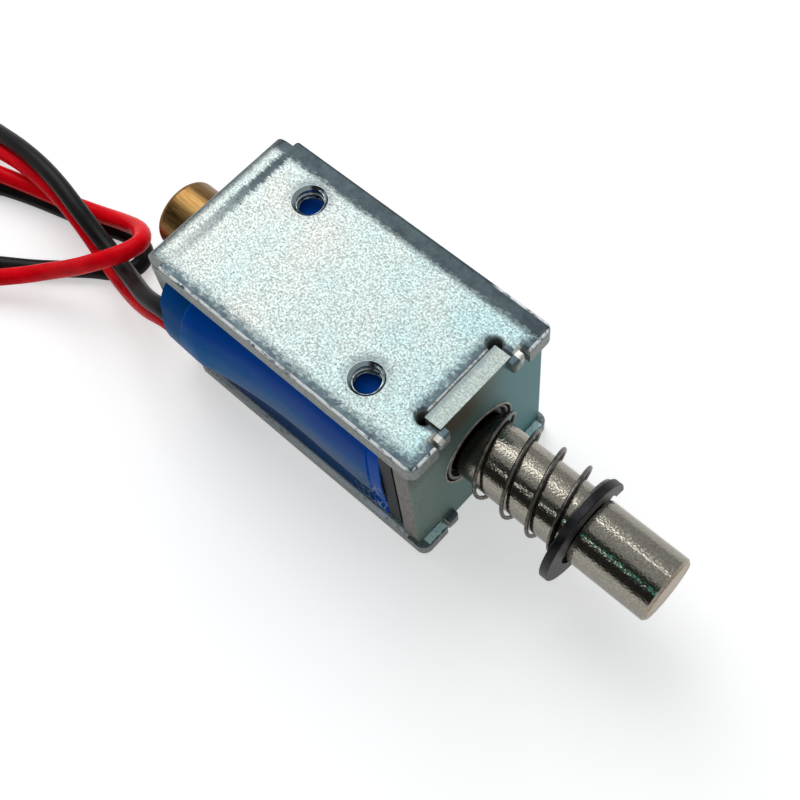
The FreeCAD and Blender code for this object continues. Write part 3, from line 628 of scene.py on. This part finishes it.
def spring_wire():
    """Drawn steel wire, greyer and browner by turns."""
    wire = Finish("spring_wire", Metallic=1.0)
    drawn = wire.noise(0.3, (2, 1, 1), 3.0, 0.6)
    colour = wire.mix(drawn.between(0.35, 0.65), rgb(0.09, 0.08, 0.07), rgb(0.22, 0.205, 0.19))
    return wire.wear(Base_Color=colour, Roughness=0.22 + drawn * 0.2)


def oiled_steel():
    """Blackened spring steel of the clip, with a painted highlight round its rim."""
    clip = Finish("oiled_steel", Metallic=0.7)
    cloud = clip.noise(1.0, (1, 1, 1), 3.0, 0.6)
    # Painted highlight round the clip's rim
    rim = clip.from_axis(CLIP_Y).band(CLIP_R - 0.11, CLIP_R - 0.02, 0.08)
    colour = clip.mix(cloud.between(0.35, 0.65), rgb(0.008, 0.0085, 0.010), rgb(0.030, 0.030, 0.033))
    clip.wear(Base_Color=clip.mix(rim * 0.5, colour, rgb(0.10, 0.10, 0.105)), Roughness=0.3 + cloud * 0.2)
    return clip.bump(clip.noise(0.2), 0.02, 0.4)


def moulded_black():
    """The bobbin's dark nylon, scuffed at its edges."""
    nylon = Finish("dark_nylon", IOR=1.3)
    scuffs = nylon.noise(0.35, (1, 1, 2), 3.0, 0.7)
    colour = nylon.mix(scuffs.between(0.4, 0.7), rgb(0.010, 0.011, 0.012), rgb(0.038, 0.039, 0.038))
    nylon.wear(Base_Color=colour, Roughness=0.42 + scuffs * 0.25)
    return nylon.bump(scuffs, 0.04, 0.4)


def ring_steel():
    """The thin ring in the front plate, bright where it is rubbed."""
    ring = Finish("ring_steel", Metallic=1.0)
    patchy = ring.noise(0.5)
    colour = ring.mix(patchy.between(0.35, 0.65), rgb(0.19, 0.165, 0.14), rgb(0.42, 0.39, 0.34))
    return ring.wear(Base_Color=colour, Roughness=0.25 + patchy * 0.2)


def insulation(name, deep, pale, rough, shine):
    """Soft lead insulation, a little uneven along its length."""
    cover = Finish(name, IOR=shine)
    uneven = cover.noise(1.6, (3, 1, 1), 3.0, 0.6)
    cover.wear(Base_Color=cover.mix(uneven.between(0.35, 0.65), deep, pale), Roughness=rough + uneven * 0.12)
    return cover.bump(cover.noise(0.5), 0.03, 0.3)


def grained(name, deep, pale, metal, rough, size=0.3, stretch=(1, 1, 1)):
    """A finish with fine grain, for the pieces that show least."""
    finish = Finish(name, Metallic=metal)
    grain = finish.noise(size, stretch, 3.0, 0.6)
    finish.wear(Base_Color=finish.mix(grain.between(0.35, 0.65), deep, pale), Roughness=rough + grain * 0.15)
    return finish.bump(grain, 0.02, 0.3)


def enamelled_copper():
    """Winding wire in even turns."""
    copper = Finish("enamelled_copper", Metallic=0.9)
    turns = (copper.x * (math.tau / 0.3)).wave()
    copper.wear(Base_Color=copper.mix(turns, rgb(0.2, 0.05, 0.02), rgb(0.62, 0.23, 0.09)),
                Roughness=0.25 + turns * 0.1)
    return copper.bump(turns, 0.1, 0.8)


def skin(name, rows, finish, ring=False, sharp=None):
    """A mesh through closed rows of points, each joined to the next, and the last to the first in a ring."""
    mesh = bmesh.new()
    made = [[mesh.verts.new(Vector(point) * MM) for point in row] for row in rows]
    for first, second in zip(made, made[1:] + made[:1] if ring else made[1:]):
        for a in range(len(first)):
            b = (a + 1) % len(first)
            mesh.faces.new((first[a], first[b], second[b], second[a]))
    if not ring:
        mesh.faces.new(list(reversed(made[0])))
        mesh.faces.new(made[-1])
    bmesh.ops.recalc_face_normals(mesh, faces=mesh.faces)
    data = bpy.data.meshes.new(name)
    mesh.to_mesh(data)
    mesh.free()
    for face in data.polygons:
        face.use_smooth = len(face.vertices) == 4
    if sharp:
        data.set_sharp_from_angle(angle=sharp)
    data.materials.append(finish.material)
    piece = bpy.data.objects.new(name, data)
    bpy.context.collection.objects.link(piece)
    return piece


def tube_rows(path, radius, sides=12):
    """Rings of points round a path, for skin."""
    rows, across = [], None
    path = [Vector(point) for point in path]
    for place, point in enumerate(path):
        along = (path[min(place + 1, len(path) - 1)] - path[max(place - 1, 0)]).normalized()
        if across is None:
            across = along.orthogonal()
        across = (across - along * across.dot(along)).normalized()
        other = along.cross(across)
        rows.append([point + (across * math.cos(turn) + other * math.sin(turn)) * radius
                     for turn in (math.tau * side / sides for side in range(sides))])
    return rows


def arc(centre, wide, tall, start, end, steps=8):
    """Points round part of an ellipse across X, from one angle to another in quarter turns from +Y to +Z."""
    turns = [math.pi / 2 * (start + (end - start) * step / steps) for step in range(steps + 1)]
    return [(centre[0] + wide * math.cos(turn), centre[1] + tall * math.sin(turn)) for turn in turns]


def pulled_curve(start, middle, end, t):
    """The point at share t of a curve from start to end that is pulled towards middle."""
    return [(1 - t) ** 2 * a + 2 * t * (1 - t) * b + t * t * c for a, b, c in zip(start, middle, end)]


def tape_outline(x):
    """The tape's outer outline at x: rounded, with a bulge and a crease on the side that faces -Y."""
    back = max(BULGE_START_X - x, 0)
    bulge = min(back / (BULGE_START_X - BULGE_FULL_X), 1) ** BULGE_FALL
    climb = CREASE_CLIMB * (back / (BULGE_START_X - TAPE_REAR_X))
    crease = (-TAPE_SIDE - CREASE_OUT - BULGE * bulge, CREASE_Z + climb)
    inner_y = TAPE_SIDE - TAPE_CORNER_R
    upper = (-TAPE_SIDE - BULGE_TOP * bulge, TAPE_HIGH - TAPE_CORNER_R)
    foot = (TAPE_LOW_CORNER_R - TAPE_SIDE, TAPE_LOW + TAPE_LOW_CORNER_R)

    # Round the far side and over the top to the upper corner
    points = arc((inner_y, TAPE_LOW + TAPE_CORNER_R), TAPE_CORNER_R, TAPE_CORNER_R, -1, 0)
    points += arc((inner_y, upper[1]), TAPE_CORNER_R, TAPE_CORNER_R, 0, 1)
    points += arc((-inner_y, upper[1]), -upper[0] - inner_y, TAPE_CORNER_R, 1, 2)

    # Down the bulge to the crease, and from there to the foot
    swell = (crease[0] - SIDE_SWELL, (crease[1] + upper[1]) / 2)
    for step in range(1, SIDE_STEPS + 1):
        t = step / SIDE_STEPS
        y, z = pulled_curve(upper, swell, crease, t)
        ripple = RIPPLE * math.sin(RIPPLE_ALONG * x + RIPPLE_DOWN * t) * math.sin(math.pi * t)
        points.append((y + ripple, z))
    for share in SIDE_FOOT:
        y = crease[0] + (-TAPE_SIDE - crease[0]) * share + SIDE_HOLLOW * math.sin(math.pi * share)
        points.append((y, crease[1] + (foot[1] - crease[1]) * share))
    return points + arc(foot, TAPE_LOW_CORNER_R, TAPE_LOW_CORNER_R, 2, 3, 5)


def inset(points, depth):
    """A closed outline moved inwards by a depth."""
    moved = []
    for place, (y, z) in enumerate(points):
        before, after = points[place - 1], points[(place + 1) % len(points)]
        along = Vector((after[0] - before[0], after[1] - before[1])).normalized()
        moved.append((y - along.y * depth, z + along.x * depth))
    return moved


def tape(finish):
    """The tape as a thin sleeve, one layer thinner at its front end."""
    length = TAPE_LAYER_END_X - TAPE_REAR_X
    places = [TAPE_REAR_X + length * step / TAPE_STEPS for step in range(TAPE_STEPS + 1)]
    outer = [(x, tape_outline(x)) for x in places]
    outer += [(x, inset(tape_outline(x), TAPE_LAYER)) for x in (
        TAPE_LAYER_END_X + TAPE_LAYER_STEP, TAPE_FRONT_X)]
    inner = [(x, inset(tape_outline(x), TAPE_THICKNESS)) for x in (TAPE_FRONT_X, *reversed(places))]
    rows = [[(x, y, z) for y, z in outline] for x, outline in outer + inner]
    piece = skin("wound_tape", rows, finish, ring=True, sharp=TAPE_SHARP)
    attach(piece, "housing")
    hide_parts("tape_wrap")


def spring_point(turn):
    """Where the spring's wire is after that many turns from its seat."""
    closed = SPRING_CLOSED_TURNS * SPRING_WIRE
    open_length = CLIP_X - TUBE_MOUTH_X - SPRING_WIRE - 2 * closed
    all_turns = SPRING_OPEN_TURNS + 2 * SPRING_CLOSED_TURNS
    share = min(max((turn - SPRING_CLOSED_TURNS) / SPRING_OPEN_TURNS, 0), 1)
    wound = min(turn, SPRING_CLOSED_TURNS) + max(turn - all_turns + SPRING_CLOSED_TURNS, 0)
    angle = math.tau * turn
    tilt = SPRING_TILT * math.sin(math.pi * share) ** 0.5 * (1 - math.cos(angle)) / 2
    middle_y = SPRING_SEAT_OFFSET + (SPRING_OFFSET - SPRING_SEAT_OFFSET) * share
    return (TUBE_MOUTH_X + SPRING_WIRE / 2 + wound * SPRING_WIRE + share * open_length + tilt,
            middle_y + SPRING_MEAN_R * math.cos(angle), AXIS_Z + SPRING_MEAN_R * math.sin(angle))


def return_spring(finish):
    """The wound wire, smooth, on the path of its CAD solid."""
    turns = SPRING_OPEN_TURNS + 2 * SPRING_CLOSED_TURNS
    steps = round(turns * SPRING_STEPS)
    path = [spring_point(turns * step / steps) for step in range(steps + 1)]
    piece = skin("sprung_wire", tube_rows(path, SPRING_WIRE / 2), finish)
    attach(piece, "housing")
    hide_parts("return_spring")
    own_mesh(piece)


def thread(name, x, y, finish):
    """The thread of one tapped hole, as a ridge that winds up its wall."""
    low = FRAME_TOP - SHEET + TAP_CHAMFER / 2
    high = FRAME_TOP - TAP_CHAMFER
    turns = (high - low) / THREAD_PITCH
    steps = round(turns * THREAD_STEPS)
    root = TAP_CORE_R + THREAD_ROOT_SINK
    rows = []
    for step in range(steps + 1):
        angle = math.tau * turns * step / steps
        z = low + (high - low) * step / steps
        grown = min(1, step / THREAD_RUN_OUT, (steps - step) / THREAD_RUN_OUT)
        crest = TAP_CORE_R + THREAD_END_SINK - (THREAD_DEPTH + THREAD_END_SINK) * grown
        section = [(root, z - THREAD_HALF_ROOT), (crest, z - THREAD_HALF_CREST),
                   (crest, z + THREAD_HALF_CREST), (root, z + THREAD_HALF_ROOT)]
        rows.append([(x + r * math.cos(angle), y + r * math.sin(angle), height) for r, height in section])
    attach(skin(name, rows, finish), "housing")


def strands(name, route, node, finish):
    """The bare end of a lead: tinned strands with a slow twist."""
    end = Vector(route[-1])
    along = (end - Vector(route[-2])).normalized()
    across = along.orthogonal().normalized()
    other = along.cross(across)
    pieces = []
    for strand in range(STRANDS):
        away = STRAND_PITCH if strand else 0
        length = TIP_LENGTH * (1 - STRAND_SHORTER * strand)
        path = []
        for share in (step / STRAND_STEPS for step in range(STRAND_STEPS + 1)):
            angle = math.tau * (strand / (STRANDS - 1) + share * STRAND_TWIST)
            sideways = across * math.cos(angle) + other * math.sin(angle)
            path.append(end + along * (length * share) + sideways * away)
        pieces.append(skin(name + "_" + str(strand), tube_rows(path, STRAND_R, 8), finish))
    first = pieces[0]
    for piece in pieces[1:]:
        piece.parent = first
    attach(first, "housing")
    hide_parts(node)
    return first


def lead(name, route, finish, node):
    """One free lead as a smooth curve through its route's control points."""
    curve = bpy.data.curves.new(name, "CURVE")
    curve.dimensions = "3D"
    spline = curve.splines.new("NURBS")
    spline.points.add(len(route) - 1)
    for point, place in zip(spline.points, route):
        point.co = (*(Vector(place) * MM), 1)
    spline.order_u = 3
    spline.use_endpoint_u = True
    spline.resolution_u = 12
    curve.bevel_depth = LEAD_R * MM
    curve.bevel_resolution = 7
    curve.use_fill_caps = True
    curve.materials.append(finish.material)
    piece = bpy.data.objects.new(name, curve)
    bpy.context.collection.objects.link(piece)
    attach(piece, "housing")
    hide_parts(node)


def leads():
    """Both leads with their bare ends."""
    tinned = grained("tinned_copper", rgb(0.42, 0.38, 0.34), rgb(0.72, 0.70, 0.67), 1.0, 0.25, 0.2, (4, 1, 1))
    red = insulation("red_insulation", rgb(0.74, 0.0015, 0.008), rgb(0.94, 0.002, 0.012), 0.2, 1.14)
    black = insulation("black_insulation", grey(0.006), grey(0.016), 0.28, 1.22)
    red_end = strands("red_strands", RED_ROUTE, "red_tip", tinned)
    lead("red_insulated_lead", RED_ROUTE, red, "red_lead")
    black_end = strands("black_strands", BLACK_ROUTE, "black_tip", tinned)
    lead("black_insulated_lead", BLACK_ROUTE, black, "black_lead")


def tapped_holes():
    """The threads of both tapped holes."""
    finish = cut_thread()
    for place, (x, y) in zip(("rear", "front"), TAP_HOLES):
        thread("thread_" + place, x, y, finish)


def dress_outside():
    """The pieces that show from outside."""
    dress(zinc_sheet(), "frame_bracket")
    dress(zinc_plate(), "front_plate")
    dress(brass(), "guide_tube")
    dress(nickel(), "plunger")
    dress(oiled_steel(), "e_clip")
    dress(moulded_black(), "bobbin")
    dress(ring_steel(), "bore_ring")
    dress(grained("core_steel", rgb(0.3, 0.29, 0.27), rgb(0.5, 0.48, 0.45), 1.0, 0.3), "fixed_core")


def dress_inside():
    """The pieces under the tape and in the tube."""
    dress(enamelled_copper(), "coil_winding", "red_winding_end", "black_winding_end")
    dress(grained("pad_rubber", grey(0.012), grey(0.03), 0.0, 0.6), "damper_pad")
    solder = grained("solder", rgb(0.4, 0.4, 0.38), rgb(0.68, 0.67, 0.64), 1.0, 0.25)
    dress(solder, "red_splice", "black_splice")
    sleeve = grained("clear_sleeve", rgb(0.55, 0.5, 0.4), rgb(0.7, 0.66, 0.55), 0.0, 0.35)
    dress(sleeve, "red_sleeve", "black_sleeve")
    dress(grained("amber_film", rgb(0.5, 0.24, 0.03), rgb(0.62, 0.33, 0.05), 0.0, 0.3, 2.0), "joint_film")


def floor():
    """White ground that keeps the object's shadow."""
    mesh = bpy.data.meshes.new("floor")
    corners = [(-FLOOR_HALF, -FLOOR_HALF, 0), (FLOOR_HALF, -FLOOR_HALF, 0),
               (FLOOR_HALF, FLOOR_HALF, 0), (-FLOOR_HALF, FLOOR_HALF, 0)]
    mesh.from_pydata(corners, [], [(0, 1, 2, 3)])
    piece = bpy.data.objects.new("floor", mesh)
    bpy.context.collection.objects.link(piece)
    ground = Finish("pale_floor", Base_Color=grey(0.8), Roughness=0.7, Emission_Strength=1.0)
    rays = ground.add("ShaderNodeLightPath")
    mirrored = rays["Is Glossy Ray"].most(rays["Is Transmission Ray"]) * FLOOR_GLOW_MIRRORED
    seen = mirrored.most(rays["Is Camera Ray"])
    ground.wear(Emission_Color=ground.mix(seen, grey(0.0), grey(FLOOR_GLOW)))
    mesh.materials.append(ground.material)


def sky():
    """An even sky with one dim patch on the side that faces -Y, and white where the camera sees it."""
    world = bpy.data.worlds.new("studio")
    bpy.context.scene.world = world
    world.use_nodes = True
    nodes = Nodes(world.node_tree)
    towards = nodes.add("ShaderNodeTexCoord")["Generated"]
    dim = nodes.vector("DOT_PRODUCT", towards, DIM_PATCH).between(*DIM_PATCH_EDGE)
    light = nodes.mix(dim, rgb(0.46, 0.47, 0.48), grey(0.03))
    camera_ray = nodes.add("ShaderNodeLightPath")["Is Camera Ray"]
    nodes.feed(nodes.nodes["Background"].inputs["Color"], nodes.mix(camera_ray, light, grey(1.0)))


def lamp(name, towards, size, bright, colour=(1, 1, 1)):
    """A soft lamp in that direction, of that width and height, as bright as a sky of strength bright."""
    light = bpy.data.lights.new(name, "AREA")
    light.shape = "RECTANGLE"
    light.size, light.size_y = size
    light.color = colour
    light.energy = bright * math.pi * size[0] * size[1]
    piece = bpy.data.objects.new(name, light)
    piece.location = LAMP_TARGET + Vector(towards).normalized() * LAMP_AWAY
    piece.rotation_euler = (LAMP_TARGET - piece.location).to_track_quat("-Z", "Y").to_euler()
    bpy.context.collection.objects.link(piece)


def lamps():
    """One broad lamp, and narrow ones that the plunger shows as streaks."""
    lamp("overhead", (-0.56, 0.28, 0.78), (0.4, 0.5), 2.6)
    lamp("strip_front", (-0.09, 0.41, 0.91), (0.085, 0.032), 4.2)
    lamp("strip_middle", (-0.19, 0.60, 0.78), (0.07, 0.03), 3.4)
    lamp("strip_rear", (-0.27, 0.73, 0.63), (0.08, 0.036), 2.6)
    lamp("strip_side", (-0.25, -0.70, 0.66), (0.16, 0.018), 5.0)
    lamp("brass_card", (-0.62, 0.45, 0.64), (0.2, 0.1), 1.5)
    lamp("teal_card", (-0.075, -0.70, 0.71), (0.03, 0.07), 1.3, (0.06, 1.0, 0.78))


def camera():
    """The photograph's view: along a line to a target, turned about that line."""
    view = bpy.data.cameras.new("camera")
    view.lens = CAMERA_LENS
    view.sensor_width = CAMERA_SENSOR
    view.clip_start = CAMERA_NEAR * MM
    piece = bpy.data.objects.new("camera", view)
    bpy.context.collection.objects.link(piece)
    ahead = CAMERA_TARGET - CAMERA_PLACE
    turn = ahead.to_track_quat("-Z", "Y").to_matrix() @ Matrix.Rotation(CAMERA_ROLL, 3, "Z")
    piece.matrix_world = Matrix.Translation(CAMERA_PLACE) @ turn.to_4x4()
    bpy.context.scene.camera = piece


bpy.context.scene.view_settings.view_transform = "Standard"
camera()
floor()
sky()
lamps()
leads()
dress_outside()
dress_inside()
tape(blue_film())
return_spring(spring_wire())
tapped_holes()
